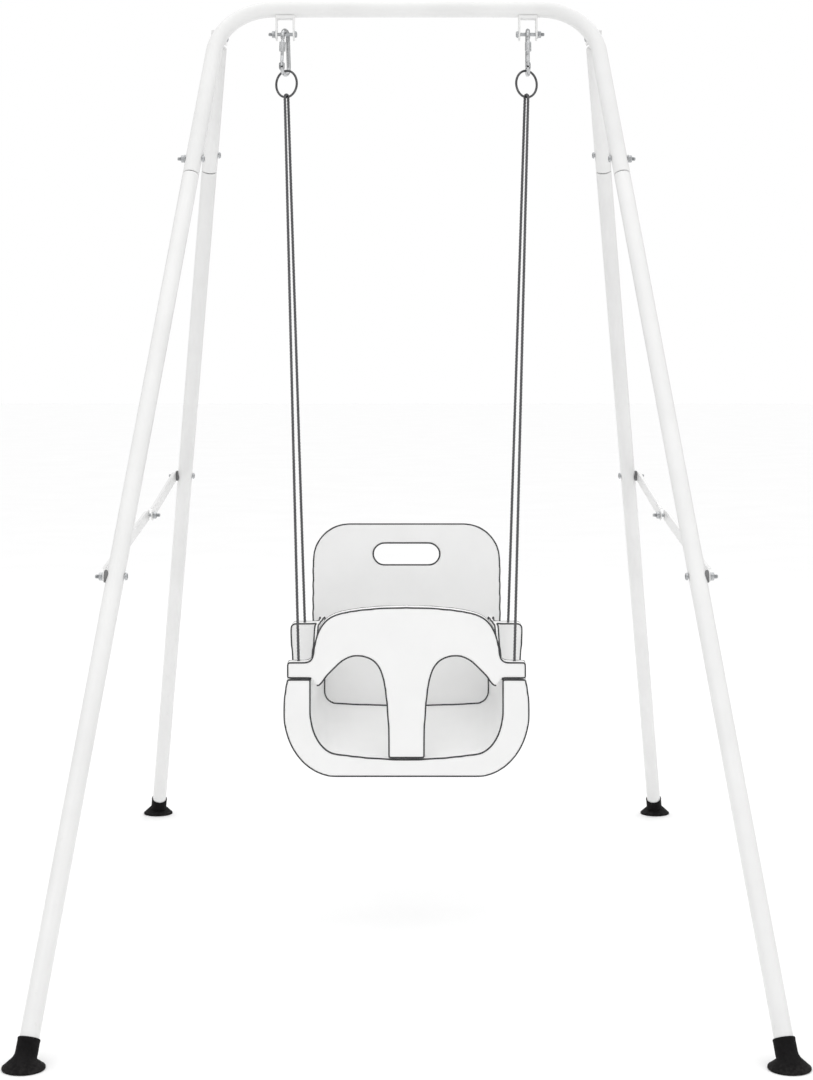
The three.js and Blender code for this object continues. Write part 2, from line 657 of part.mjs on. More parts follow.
function backrestOutline() {
  const half = seat.innerHalf + seat.wall;
  const bottom = seat.innerBottom + seat.panRise - seat.wall;
  const lowCorner = seat.rearCorner.x + seat.wall;
  const topCorner = seat.backCorner;
  const shape = new THREE.Shape();
  shape.moveTo(topCorner - half, seat.backTop);
  shape.absarc(topCorner - half, seat.backTop - topCorner, topCorner, Math.PI / 2, Math.PI, false);
  shape.lineTo(-half, bottom + lowCorner);
  shape.absarc(lowCorner - half, bottom + lowCorner, lowCorner, Math.PI, 1.5 * Math.PI, false);
  shape.absarc(half - lowCorner, bottom + lowCorner, lowCorner, 1.5 * Math.PI, 2 * Math.PI, false);
  shape.absarc(half - topCorner, seat.backTop - topCorner, topCorner, 0, Math.PI / 2, false);
  shape.closePath();
  const slot = new THREE.Path();
  const { slotHeight, slotRadius, slotHalf } = seat;
  slot.absarc(-slotHalf, slotHeight, slotRadius, 1.5 * Math.PI, 0.5 * Math.PI, true);
  slot.absarc(slotHalf, slotHeight, slotRadius, 0.5 * Math.PI, -0.5 * Math.PI, true);
  slot.closePath();
  shape.holes.push(slot);
  return shape;
}

function leanBack(geometry) {
  geometry.translate(0, -seat.back, -seat.innerBottom);
  geometry.rotateX(THREE.MathUtils.degToRad(-seat.backTilt));
  return geometry.translate(0, seat.back, seat.innerBottom);
}

// What is cut away above the side walls, which rise from the rim to the rope ears.
function aboveWalls() {
  const shape = new THREE.Shape();
  shape.moveTo(-200, 800);
  shape.lineTo(-200, seat.rimTop);
  shape.lineTo(-60, seat.rimTop);
  shape.bezierCurveTo(-10, seat.rimTop, 0, seat.earTop, 42, seat.earTop);
  shape.lineTo(200, seat.earTop);
  shape.lineTo(200, 800);
  shape.closePath();
  return plate(shape, -300, 600, 12);
}

function larger(corner, thickness) {
  return { x: corner.x + thickness, z: corner.z + thickness };
}

// The bucket between its front, behind the rim, and its narrower, higher and tighter rear.
function bucket(thickness, top) {
  const { innerHalf, innerBottom, innerCorner, rearHalf, rearCorner, panRise } = seat;
  const front = cradle(
    innerHalf + thickness, innerBottom - thickness, larger(innerCorner, thickness), top, seat.crown,
  );
  const rear = cradle(
    rearHalf + thickness, innerBottom + panRise - thickness, larger(rearCorner, thickness), top,
    seat.rearCrown,
  );
  const depth = seat.back - seat.rimBack;
  return lofted(front, rear, seat.rimBack, seat.rimBack + depth * 1.12);
}

// The block on each side wall that takes a rear rope, with its outer top corner rounded.
function ropeEar(side) {
  const { earInside, earHalf, earBottom, earTop, earCorner, earY, earDepth } = seat;
  const shape = new THREE.Shape();
  shape.moveTo(earInside, earBottom);
  shape.lineTo(earHalf - 4, earBottom);
  shape.lineTo(earHalf, earTop - 2 * earCorner);
  shape.lineTo(earHalf, earTop - earCorner);
  shape.absarc(earHalf - earCorner, earTop - earCorner, earCorner, 0, Math.PI / 2, false);
  shape.lineTo(earInside, earTop);
  shape.closePath();
  return slab(shape, earY - earDepth / 2, earDepth).scale(side, 1, 1);
}

function seatShell() {
  const rimDepth = seat.rimBack - seat.rimFront;
  const outer = cradle(seat.outerHalf, seat.outerBottom, seat.outerCorner, seat.rimTop, 0, seat.flare);
  const inner = cradle(seat.innerHalf, seat.innerBottom, seat.innerCorner, 700, seat.crown);
  const rim = slab(outer, seat.rimFront, rimDepth, 12);
  const mouth = slab(inner, seat.rimFront - 10, rimDepth + 10, 12);
  const behind = leanBack(box(-300, 300, seat.back + seat.backThickness - 0.5, 400, 100, 900));
  const bowl = cut(bucket(seat.wall, seat.earTop + GAP), behind);
  const walls = cut(join(rim, bowl), mouth, bucket(0, 700), aboveWalls());
  const back = leanBack(slab(backrestOutline(), seat.back, seat.backThickness, 10));
  return join(walls, back, ...sides.map(([, side]) => ropeEar(side)));
}

// ---------------------------------------------------------------- ropes
const ropeStartZ = ringZ - ring.radius - ring.wire - GAP;

function ropeEnds(side, isFront) {
  const offset = isFront ? rope.spacing : -rope.spacing;
  const start = vec(side * (ring.x + offset), isFront ? -0.4 : 0.4, ropeStartZ);
  const anchor = isFront ? seat.frontRope : seat.rearRope;
  const height = isFront ? seat.rimTop : seat.earTop;
  const end = vec(side * anchor.x, anchor.y, height - 20);
  return { start, end };
}

function ropeTube(side, isFront) {
  const { start, end } = ropeEnds(side, isFront);
  const stations = [];
  for (let i = 0; i <= rope.steps; i += 1) {
    stations.push(start.clone().lerp(end, i / rope.steps));
  }
  return pipe(stations, rope.radius, 0, rope.sides);
}

function ropeSocket(side, isFront) {
  const { start, end } = ropeEnds(side, isFront);
  const below = end.clone().sub(start).normalize().multiplyScalar(2).add(end);
  return rod(start, below, rope.hole, 8);
}

const sockets = sides.flatMap(([, side]) => [ropeSocket(side, true), ropeSocket(side, false)]);
add('seat_shell', cut(seatShell(), ...sockets), plastic);

sides.forEach(([label, side]) => {
  add(`front_rope_${label}`, ropeTube(side, true), cord);
  add(`rear_rope_${label}`, ropeTube(side, false), cord);
});

// ---------------------------------------------------------------- front guard
// One half of the T-shaped guard, as points from the middle of its top edge to the stem.
function guardOutline() {
  const shape = new THREE.Shape();
  const { stem, archTop } = guard;
  const stemBottom = seat.innerBottom + guard.stemClear;
  const end = guard.endHalf;
  shape.moveTo(0, guard.top);
  shape.bezierCurveTo(60, guard.top - 1, 100, guard.top - 6, 118, guard.top - 14);
  shape.bezierCurveTo(140, guard.top - 24, 147, guard.top - 50, 150, guard.endTop + 12);
  shape.quadraticCurveTo(151, guard.endTop, 162, guard.endTop);
  shape.lineTo(end - 5, guard.endTop);
  shape.quadraticCurveTo(end, guard.endTop, end, guard.endTop - 5);
  shape.lineTo(end, seat.rimTop + 2 * GAP);
  shape.lineTo(seat.innerHalf - 2 * GAP, seat.rimTop + 2 * GAP);
  shape.lineTo(seat.innerHalf - 9, seat.rimTop - 12);
  shape.quadraticCurveTo(138, seat.rimTop - 14, 128, seat.rimTop + 4);
  shape.bezierCurveTo(112, archTop - 17, 100, archTop, 80, archTop);
  shape.bezierCurveTo(50, archTop, 40, archTop - 17, 35, archTop - 51);
  shape.bezierCurveTo(31, 360, stem, 330, stem, stemBottom + 8);
  shape.lineTo(stem, stemBottom);
  shape.lineTo(-stem, stemBottom);
  return shape;
}

function mirrored(halfShape, divisions) {
  const right = halfShape.getPoints(divisions);
  const left = right.slice(1, -1).map((point) => new THREE.Vector2(-point.x, point.y));
  return new THREE.Shape([...right.slice(0, -1), ...left.reverse()]);
}

const guardSolid = slab(mirrored(guardOutline(), 9), guard.front, guard.thickness);
const guideSlots = sides.map(([, side]) => {
  const { start, end } = ropeEnds(side, true);
  const slot = rod(start, end, rope.hole, 8);
  const wider = slot.clone().translate(side * guard.slotSpread, 0, 0);
  return join(slot, wider);
});
add('seat_guard', cut(guardSolid, ...guideSlots), plastic);

export default object;
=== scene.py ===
import json
import math

import bmesh
import bpy
from mathutils import Matrix, Quaternion, Vector
from mathutils.bvhtree import BVHTree


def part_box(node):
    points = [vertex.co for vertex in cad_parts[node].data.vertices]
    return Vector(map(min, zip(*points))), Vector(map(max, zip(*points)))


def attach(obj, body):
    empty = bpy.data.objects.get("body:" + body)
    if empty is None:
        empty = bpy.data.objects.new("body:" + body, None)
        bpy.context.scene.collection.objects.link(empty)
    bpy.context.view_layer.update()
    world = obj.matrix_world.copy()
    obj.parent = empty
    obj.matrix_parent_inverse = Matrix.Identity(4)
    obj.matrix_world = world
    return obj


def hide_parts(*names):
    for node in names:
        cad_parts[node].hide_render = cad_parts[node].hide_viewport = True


# The looks of a toddler swing stand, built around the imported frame, in metres.
# +X runs along the top bar, -Y is the front and +Z is up.
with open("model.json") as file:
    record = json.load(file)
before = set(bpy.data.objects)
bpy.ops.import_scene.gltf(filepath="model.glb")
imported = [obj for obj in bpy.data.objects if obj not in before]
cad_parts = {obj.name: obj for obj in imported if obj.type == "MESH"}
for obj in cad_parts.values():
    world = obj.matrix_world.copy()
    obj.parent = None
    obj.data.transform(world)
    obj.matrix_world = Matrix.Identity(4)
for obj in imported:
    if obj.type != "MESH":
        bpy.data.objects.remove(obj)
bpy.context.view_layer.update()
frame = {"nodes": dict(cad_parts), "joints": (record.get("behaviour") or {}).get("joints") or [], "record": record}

SIDES = (("left", -1), ("right", 1))

# ---------------------------------------------------------------- sizes
TUBE = 0.013
SPIGOT = 0.0104
JOINT_GAP = 0.0014
TUBE_SIDES = 40
TUBE_EDGE = 0.0007
BORE = SPIGOT + 0.0004
BORE_DEPTH = 0.03
TOP_HALF = 0.305
BEND = 0.095
FRONT_JOINT = 0.319
REAR_JOINT = 0.237
FOOT_LEG_END = 0.014
FOOT_SIDES = 44
BOLT = 0.003
BOLT_HEAD = 0.0055
HEAD_HEIGHT = 0.0035
NUT = 0.0058
NUT_HEIGHT = 0.006
THREAD_TIP = 0.006
LINK_HALF = 0.009
LINK_DEPTH = 0.006
LINK_WEB = 0.0016
LINK_FLANGE = 0.0015
LINK_FLANGE_START = 0.012
BARREL = 0.010
BARREL_LENGTH = 0.018
HINGE_NECK = 0.0075
HINGE_SHOULDER = 0.004
WIRE = 0.0035
GATE_PIN = 0.0026
HOOK_TOP = 0.010
HOOK_BOTTOM = 0.0135
HOOK_TURN = -22
HOOK_X = 0.2
GATE_END = 0.0206
GATE_PIVOT = -0.021
RING = 0.0218
RING_WIRE = 0.0019
RING_TURN = 36
ROPE = 0.0022
ROPE_PITCH = 0.016
ROPE_CLEAR = 0.0002
FRONT_ANCHOR = Vector((0.172, -0.099, 0))
REAR_ANCHOR = Vector((0.170, 0.060, 0))
SEAT_VOXEL = 0.0025
SHADE_BEAD_RADIUS = 0.0014
EDGE_ANGLE = 38
EDGE_SHORTEST = 0.03
EDGE_SPACING = 0.003
PLAY = 0.0003
SKY_LOW = 0.50
SKY_HIGH = 1.34

# Places that the frame gives.
record = frame["record"]
joints = {joint["name"]: joint for joint in frame["joints"]}
mounts = {mount["name"]: Vector(mount["pos_m"]) for mount in record["mounts"]}
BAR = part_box("top_tube")[1].z - TUBE


def front_top(side):
    return Vector((side * TOP_HALF, 0, BAR))


def hinge_point(label):
    return Vector(joints[f"{label}_leg_fold"]["pos_m"])


def toward(start, end, distance):
    return start + (end - start).normalized() * distance


# ---------------------------------------------------------------- camera
LENS = 72.1
CAMERA_HEIGHT = 0.942
CAMERA_BACK = 3.569
CAMERA_SHIFT = -0.1824

camera_data = bpy.data.cameras.new("camera")
camera_data.lens = LENS
camera_data.shift_y = CAMERA_SHIFT
camera = bpy.data.objects.new("camera", camera_data)
camera.location = (0, -CAMERA_BACK, CAMERA_HEIGHT)
camera.rotation_euler = (math.pi / 2, 0, 0)
bpy.context.scene.collection.objects.link(camera)
bpy.context.scene.camera = camera


# ---------------------------------------------------------------- node materials
class Paint:
    """A principled material, with short calls for the nodes that feed it."""

    def __init__(self, name, roughness, metallic=0.0, **sockets):
        self.material = bpy.data.materials.new(name)
        self.material.use_nodes = True
        self.tree = self.material.node_tree
        self.shader = self.tree.nodes["Principled BSDF"]
        self.shader.inputs["Roughness"].default_value = roughness
        self.shader.inputs["Metallic"].default_value = metallic
        for socket, value in sockets.items():
            self.shader.inputs[socket.replace("_", " ")].default_value = value
        self.place = self.tree.nodes.new("ShaderNodeTexCoord").outputs["Object"]

    def node(self, kind, **inputs):
        made = self.tree.nodes.new(kind)
        for key, value in inputs.items():
            socket = made.inputs[key.replace("_", " ")]
            if isinstance(value, bpy.types.NodeSocket):
                self.tree.links.new(value, socket)
            else:
                socket.default_value = value
        return made

    def stretched(self, scale):
        mapping = self.node("ShaderNodeMapping", Vector=self.place)
        mapping.inputs["Scale"].default_value = scale
        return mapping.outputs["Vector"]

    def noise(self, scale, detail=3.0, roughness=0.55, vector=None):
        made = self.node("ShaderNodeTexNoise", Scale=scale, Detail=detail, Roughness=roughness)
        self.tree.links.new(vector or self.place, made.inputs["Vector"])
        return made.outputs["Fac"]

    def cells(self, scale):
        made = self.node("ShaderNodeTexVoronoi", Scale=scale, Vector=self.place)
        return made.outputs["Distance"]

    def range(self, value, low, high, to_low=0.0, to_high=1.0):
        made = self.node("ShaderNodeMapRange", Value=value)
        limits = {"From Min": low, "From Max": high, "To Min": to_low, "To Max": to_high}
        for name, number in limits.items():
            made.inputs[name].default_value = number
        return made.outputs["Result"]

    def math(self, operation, first, second):
        made = self.node("ShaderNodeMath")
        made.operation = operation
        for socket, value in zip(made.inputs, (first, second)):
            if isinstance(value, bpy.types.NodeSocket):
                self.tree.links.new(value, socket)
            else:
                socket.default_value = value
        return made.outputs[0]

    def blend(self, factor, first, second):
        made = self.tree.nodes.new("ShaderNodeMix")
        made.data_type = "RGBA"
        sockets = {socket.identifier: socket for socket in made.inputs}
        self.tree.links.new(factor, sockets["Factor_Float"])
        for name, value in (("A_Color", first), ("B_Color", second)):
            if isinstance(value, bpy.types.NodeSocket):
                self.tree.links.new(value, sockets[name])
            else:
                sockets[name].default_value = (*value, 1.0)
        return [socket for socket in made.outputs if socket.identifier == "Result_Color"][0]

    def height(self):
        return self.node("ShaderNodeSeparateXYZ", Vector=self.place).outputs["Z"]

    def finish(self, color=None, roughness=None, bump=None, strength=0.2, distance=0.0003):
        if color is not None:
            self.tree.links.new(color, self.shader.inputs["Base Color"])
        if roughness is not None:
            self.tree.links.new(roughness, self.shader.inputs["Roughness"])
        if bump is not None:
            made = self.node("ShaderNodeBump", Height=bump, Strength=strength, Distance=distance)
            self.tree.links.new(made.outputs["Normal"], self.shader.inputs["Normal"])
        return self.material


def powder_coat():
    """White powder coat: orange peel, a faint cloudiness, and light scuffs near the ground."""
    paint = Paint("white_powder_coat", 0.36, Coat_Weight=0.25, Coat_Roughness=0.22)
    clouds = paint.range(paint.noise(9, 4), 0.35, 0.65)
    tone = paint.blend(clouds, (0.775, 0.775, 0.77), (0.815, 0.815, 0.81))
    low = paint.range(paint.height(), 0.45, 0.0)
    streaks = paint.range(paint.noise(70, 6, 0.7, paint.stretched((1, 1, 0.25))), 0.6, 0.72)
    scuffs = paint.math("MULTIPLY", paint.math("MULTIPLY", low, streaks), 0.35)
    tone = paint.blend(scuffs, tone, (0.55, 0.54, 0.52))
    specks = paint.range(paint.noise(900, 2), 0.68, 0.74, 0.0, 0.12)
    tone = paint.blend(specks, tone, (0.70, 0.70, 0.69))
    rough = paint.range(paint.noise(35, 4), 0.3, 0.7, 0.30, 0.44)
    peel = paint.noise(520, 2, 0.5)
    return paint.finish(tone, rough, peel, 0.07, 0.0004)


def zinc(name, dark, light, rough_low, rough_high):
    """Zinc-plated steel with fine brushing, cloudy plating and dull marks."""
    paint = Paint(name, rough_low, 1.0)
    clouds = paint.range(paint.noise(160, 5, 0.6), 0.3, 0.7)
    tone = paint.blend(clouds, dark, light)
    marks = paint.range(paint.noise(700, 3), 0.58, 0.7, 0.0, 0.5)
    tone = paint.blend(marks, tone, tuple(value * 0.6 for value in dark))
    brushed = paint.noise(900, 3, 0.6, paint.stretched((0.15, 1, 1)))
    rough = paint.range(brushed, 0.3, 0.7, rough_low, rough_high)
    return paint.finish(tone, rough, brushed, 0.15, 0.0001)


def rubber(name, tone_low, tone_high, dust, specular=0.3):
    """Matt moulded rubber: fine grain, and dust low down where it meets the floor."""
    paint = Paint(name, 0.8, Specular_IOR_Level=specular)
    tone = paint.blend(paint.range(paint.noise(60, 4), 0.3, 0.7), tone_low, tone_high)
    near_floor = paint.range(paint.height(), 0.016, 0.0)
    patches = paint.range(paint.noise(220, 4, 0.65), 0.42, 0.62)
    amount = paint.math("MULTIPLY", paint.math("MULTIPLY", near_floor, patches), dust)
    tone = paint.blend(amount, tone, (0.16, 0.15, 0.14))
    rough = paint.range(paint.noise(300, 3), 0.3, 0.7, 0.62, 0.88)
    return paint.finish(tone, rough, paint.noise(1500, 3), 0.3, 0.0002)


def seat_plastic():
    """White moulded polyethylene with a fine leather-like grain."""
    paint = Paint("white_seat_plastic", 0.44, Coat_Weight=0.08, Coat_Roughness=0.4)
    clouds = paint.range(paint.noise(14, 4), 0.35, 0.65)
    tone = paint.blend(clouds, (0.872, 0.872, 0.869), (0.895, 0.895, 0.892))
    rubs = paint.range(paint.noise(45, 5, 0.7), 0.64, 0.74, 0.0, 0.10)
    tone = paint.blend(rubs, tone, (0.68, 0.68, 0.67))
    rough = paint.range(paint.noise(55, 4), 0.3, 0.7, 0.38, 0.52)
    grain = paint.cells(620)
    return paint.finish(tone, rough, grain, 0.16, 0.00025)


def rope_fibre():
    """Dark grey polyester yarn: fine fibres across each strand, a few of them paler."""
    paint = Paint("rope_fibre", 0.92, Sheen_Weight=0.35, Sheen_Roughness=0.5)
    fibres = paint.noise(2600, 3, 0.6, paint.stretched((1, 1, 0.3)))
    tone = paint.blend(paint.range(fibres, 0.35, 0.7), (0.046, 0.046, 0.049), (0.125, 0.125, 0.132))
    faded = paint.range(paint.noise(18, 3), 0.5, 0.75, 0.0, 0.35)
    tone = paint.blend(faded, tone, (0.14, 0.14, 0.145))
    return paint.finish(tone, None, fibres, 0.5, 0.0003)


WHITE = powder_coat()
STEEL = zinc("bolt_zinc", (0.36, 0.37, 0.38), (0.56, 0.57, 0.58), 0.26, 0.42)
HOOK_STEEL = zinc("snap_hook_zinc", (0.46, 0.465, 0.47), (0.62, 0.63, 0.64), 0.14, 0.24)
RING_STEEL = zinc("ring_zinc", (0.075, 0.075, 0.078), (0.15, 0.15, 0.153), 0.28, 0.42)
# near-black spigot colour: painted shade, standing for the shadow line in the joint gap
SPIGOT_PAINTED_SHADE = zinc("spigot_painted_shade_steel", (0.05, 0.05, 0.052), (0.11, 0.11, 0.112), 0.4, 0.6)
FOOT_RUBBER = rubber("foot_rubber", (0.0035, 0.0032, 0.0034), (0.008, 0.0072, 0.0076), 0.10, 0.12)
SADDLE_RUBBER = rubber("saddle_rubber", (0.15, 0.15, 0.152), (0.21, 0.21, 0.212), 0.0)
PLASTIC = seat_plastic()
# dark grey bead colour along the seat's edges: painted shade, drawing the shading at the rounded edges as outlines
PAINTED_OUTLINE_SHADE = rubber("seat_edge_painted_shade", (0.040, 0.041, 0.043), (0.066, 0.067, 0.070), 0.0)
FIBRE = rope_fibre()


# ---------------------------------------------------------------- mesh tools
def axes_for(direction, hint=None):
    """Two unit vectors across a direction, the first as close to hint as it can be."""
    direction = direction.normalized()
    hint = hint or (Vector((0, 0, 1)) if abs(direction.z) < 0.9 else Vector((0, 1, 0)))
    first = (hint - direction * hint.dot(direction)).normalized()
    return first, direction.cross(first)


def ring(centre, first, second, radius, sides):
    """Points round a centre. radius is a number or a function of the angle."""
    points = []
    for i in range(sides):
        angle = 2 * math.pi * i / sides
        reach = radius(angle) if callable(radius) else radius
        points.append(centre + first * (reach * math.cos(angle)) + second * (reach * math.sin(angle)))
    return points


def skin(rings, closed=False):
    """Faces over rings of equal counts. A ring of one point is a pole, and open ends are capped."""
    points = []
    starts = []
    for loop in rings:
        starts.append(len(points))
        points.extend(loop)
    faces = []
    pairs = list(zip(range(len(rings)), range(1, len(rings))))
    if closed:
        pairs.append((len(rings) - 1, 0))
    for here, after in pairs:
        a, b = starts[here], starts[after]
        count = max(len(rings[here]), len(rings[after]))
        for i in range(count):
            k = (i + 1) % count
            if len(rings[here]) == 1:
                faces.append((a, b + i, b + k))
            elif len(rings[after]) == 1:
                faces.append((a + i, b, a + k))
            else:
                faces.append((a + i, b + i, b + k, a + k))
    if not closed and len(rings[0]) > 1:
        faces.append(tuple(range(starts[0], starts[0] + len(rings[0]))))
    if not closed and len(rings[-1]) > 1:
        faces.append(tuple(reversed(range(starts[-1], starts[-1] + len(rings[-1])))))
    return points, faces


def lathe(origin, direction, profile, sides=32, hint=None, shape=None):
    """A turned shape: profile is (radius, height) pairs, and shape scales the radius by the angle."""
    first, second = axes_for(direction, hint)
    direction = direction.normalized()
    rings = []
    for radius, height in profile:
        centre = origin + direction * height
        if radius <= 0:
            rings.append([centre])
        elif shape is None:
            rings.append(ring(centre, first, second, radius, sides))
        else:
            rings.append(ring(centre, first, second, lambda angle: radius * shape(angle, height), sides))
    return skin(rings)


def transported(path, hint):
    """Cross axes along a path, carried from one point to the next without twist."""
    first = hint
    found = []
    for i, point in enumerate(path):
        before = path[max(i - 1, 0)]
        after = path[min(i + 1, len(path) - 1)]
        direction = (after - before).normalized()
        first = (first - direction * first.dot(direction)).normalized()
        found.append((first, direction.cross(first)))
    return found


def sweep(path, radii, sides, hint, closed=False):
    """A round section along a path; radii is one radius, or one for each point."""
    rings = []
    if closed:
        path = [path[-1], *path, path[0]]
    frames = transported(path, hint)
    for i, point in enumerate(path):
        if closed and i in (0, len(path) - 1):
            continue
        radius = radii[i] if isinstance(radii, list) else radii
        rings.append(ring(point, *frames[i], radius, sides))
    return skin(rings, closed)


def fillet(before, corner, after, radius, steps):
    """Points of an arc that rounds a corner between two straight runs."""
    first = (before - corner).normalized()
    second = (after - corner).normalized()
    half = first.angle(second) / 2
    tangent = radius / math.tan(half)
    centre = corner + (first + second).normalized() * (radius / math.sin(half))
    start = corner + first * tangent - centre
    turn = math.pi - 2 * half
    axis = start.cross(corner + second * tangent - centre)
    return [centre + Quaternion(axis, turn * i / steps) @ start for i in range(steps + 1)]


def hexagon(angle):
    """How far a hexagon reaches at an angle, as a share of its corners' radius."""
    within = (angle % (math.pi / 3)) - math.pi / 6
    return math.cos(math.pi / 6) / math.cos(within)


def build(name, shells, sharp=32):
    """One mesh object from shells, each a pair of points and faces with its material."""
    mesh = bpy.data.meshes.new(name)
    points = []
    faces = []
    indices = []
    materials = []
    for (shell_points, shell_faces), material in shells:
        if material not in materials:
            materials.append(material)
        start = len(points)
        points.extend(shell_points)
        faces.extend(tuple(start + i for i in face) for face in shell_faces)
        indices.extend([materials.index(material)] * len(shell_faces))
    mesh.from_pydata(points, [], faces)
    for material in materials:
        mesh.materials.append(material)
    mesh.polygons.foreach_set("material_index", indices)
    mesh.polygons.foreach_set("use_smooth", [True] * len(faces))
    mesh.update()
    work = bmesh.new()
    work.from_mesh(mesh)
    bmesh.ops.recalc_face_normals(work, faces=work.faces)
    work.to_mesh(mesh)
    work.free()
    mesh.set_sharp_from_angle(angle=math.radians(sharp))
    piece = bpy.data.objects.new(name, mesh)
    bpy.context.scene.collection.objects.link(piece)
    return piece


def place(piece, body, slot, *nodes):
    """Puts a finished piece on its CAD body, in the place of the nodes it stands for."""
    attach(piece, body)
    if nodes:
        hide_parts(*nodes)
    return piece


def applied(piece):
    """The piece with its modifiers turned into mesh."""
    graph = bpy.context.evaluated_depsgraph_get()
    mesh = bpy.data.meshes.new_from_object(piece.evaluated_get(graph))
    piece.modifiers.clear()
    old = piece.data
    piece.data = mesh
    bpy.data.meshes.remove(old)
    return piece


def node_copy(node, name):
    """A mesh copy of a CAD node with its shared corners merged."""
    source = frame["nodes"][node]
    mesh = source.data.copy()
    mesh.transform(source.matrix_world)
    work = bmesh.new()
    work.from_mesh(mesh)
    bmesh.ops.remove_doubles(work, verts=work.verts, dist=1e-5)
    work.to_mesh(mesh)
    work.free()
    mesh.materials.clear()
    piece = bpy.data.objects.new(name, mesh)
    bpy.context.scene.collection.objects.link(piece)
    return piece


def softened(node, name, voxel, passes, material):
    """A CAD node remeshed finely and smoothed, which rounds every edge."""
    piece = node_copy(node, name)
    remesh = piece.modifiers.new("remesh", "REMESH")
    remesh.mode = "VOXEL"
    remesh.voxel_size = voxel
    smooth = piece.modifiers.new("smooth", "SMOOTH")
    smooth.factor = 0.5
    smooth.iterations = passes
    applied(piece)
    piece.data.materials.append(material)
    piece.data.polygons.foreach_set("use_smooth", [True] * len(piece.data.polygons))
    return piece


def reach_from_middle(node, side):
    """The nearest and the farthest distance of a node from the plane X = 0."""
    low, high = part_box(node)
    return (low.x, high.x) if side > 0 else (-high.x, -low.x)


def middle_of(node):
    low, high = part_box(node)
    return (low + high) / 2


# ---------------------------------------------------------------- bolts
def socket_head(origin, direction):
    """A low round head with a round recess."""
    recess = 0.0026
    profile = [
        (BOLT_HEAD, 0), (BOLT_HEAD, 0.0012), (BOLT_HEAD * 0.93, 0.0024), (BOLT_HEAD * 0.78, 0.0032),
        (BOLT_HEAD * 0.6, HEAD_HEIGHT), (recess, HEAD_HEIGHT), (recess, 0.0016), (0, 0.0014),
    ]
    return lathe(origin, direction, profile, 36)


def hex_nut(origin, direction, height=NUT_HEIGHT):
    """A six-sided nut with turned chamfers on both ends."""
    first, second = axes_for(direction)
    direction = direction.normalized()
    inner = NUT * 0.87
    chamfer = 0.0009
    bore = BOLT * 1.08
    rings = []
    for radius, level, hexed in (
        (inner, 0, False), (NUT, chamfer, True), (NUT, height - chamfer, True),
        (inner, height, False), (bore, height, False), (bore, height - 0.001, False),
    ):
        shape = (lambda angle, r=radius: r * hexagon(angle)) if hexed else radius
        rings.append(ring(origin + direction * level, first, second, shape, 36))
    return skin(rings)


def thread(origin, direction, length):
    """A thread end: fine ridges and a chamfered tip."""
    pitch = 0.001
    profile = [(BOLT * 0.86, 0)]
    count = int(length / pitch) - 1
    for i in range(count):
        profile.append((BOLT, (i + 0.4) * pitch))
        profile.append((BOLT * 0.88, (i + 0.9) * pitch))
    profile += [(BOLT * 0.8, length - 0.0003), (BOLT * 0.55, length), (0, length)]
    return lathe(origin, direction, profile, 20)


def washer(origin, direction, thickness):
    """A flat washer with eased edges."""
    flat = 0.0066
    rim = 0.0069
    edge = rim - flat
    profile = [
        (BOLT, 0), (flat, 0), (rim, edge), (rim, thickness - edge), (flat, thickness), (BOLT, thickness),
    ]
    return lathe(origin, direction, profile, 32)


def cross_bolt(label, side, node, body):
    """A bolt along X: head towards the middle of the stand, nut and thread outside."""
    near, far = reach_from_middle(node, side)
    middle = middle_of(node)
    outward = Vector((side, 0, 0))
    head_at = Vector((side * (near + HEAD_HEIGHT), middle.y, middle.z))
    nut_at = Vector((side * (far - THREAD_TIP - NUT_HEIGHT), middle.y, middle.z))
    grip = (nut_at - head_at).length
    washer_half = 0.0006
    shank = lathe(head_at, outward, [(BOLT, 0), (BOLT, grip)], 24)
    shells = [
        (socket_head(head_at, -outward), STEEL),
        (shank, STEEL),
        (washer(nut_at - outward * washer_half, outward, 2 * washer_half), STEEL),
        (hex_nut(nut_at + outward * washer_half, outward, NUT_HEIGHT - washer_half), STEEL),
        (thread(nut_at + outward * (NUT_HEIGHT - 0.0004), outward, THREAD_TIP), STEEL),
    ]
    piece = build(node.replace(f"_{label}", "") + f"_fine_{label}", shells)
    return place(piece, body, "bolt_steel", node)


# ---------------------------------------------------------------- tubes
def top_tube():
    """The bar, both bends and the upper front legs, in one bent tube."""
    path = []
    for label, side in SIDES:
        foot = mounts[f"front_foot_{label}_base"]
        end = toward(front_top(side), foot, FRONT_JOINT)
        bend = fillet(Vector((0, 0, BAR)), front_top(side), foot, BEND, 26)
        half = [*bend, toward(end, front_top(side), TUBE_EDGE), end]
        path.extend(reversed(half)) if side < 0 else path.extend(half)
    radii = [TUBE] * len(path)
    radii[0] = radii[-1] = TUBE - TUBE_EDGE
    frames = transported(path, Vector((0, 1, 0)))
    rings = []
    for point, axes, radius in zip(path, frames, radii):
        rings.append(ring(point, *axes, radius, TUBE_SIDES))
    for place_index, inward in ((0, path[1] - path[0]), (-1, path[-2] - path[-1])):
        mouth = ring(path[place_index], *frames[place_index], BORE, TUBE_SIDES)
        floor_of_bore = [point + inward.normalized() * BORE_DEPTH for point in mouth]
        rings = [floor_of_bore, mouth, *rings] if place_index == 0 else [*rings, mouth, floor_of_bore]
    piece = build("top_tube_fine", [(skin(rings), WHITE)])
    place(piece, "stand", "white_tube", "top_tube")


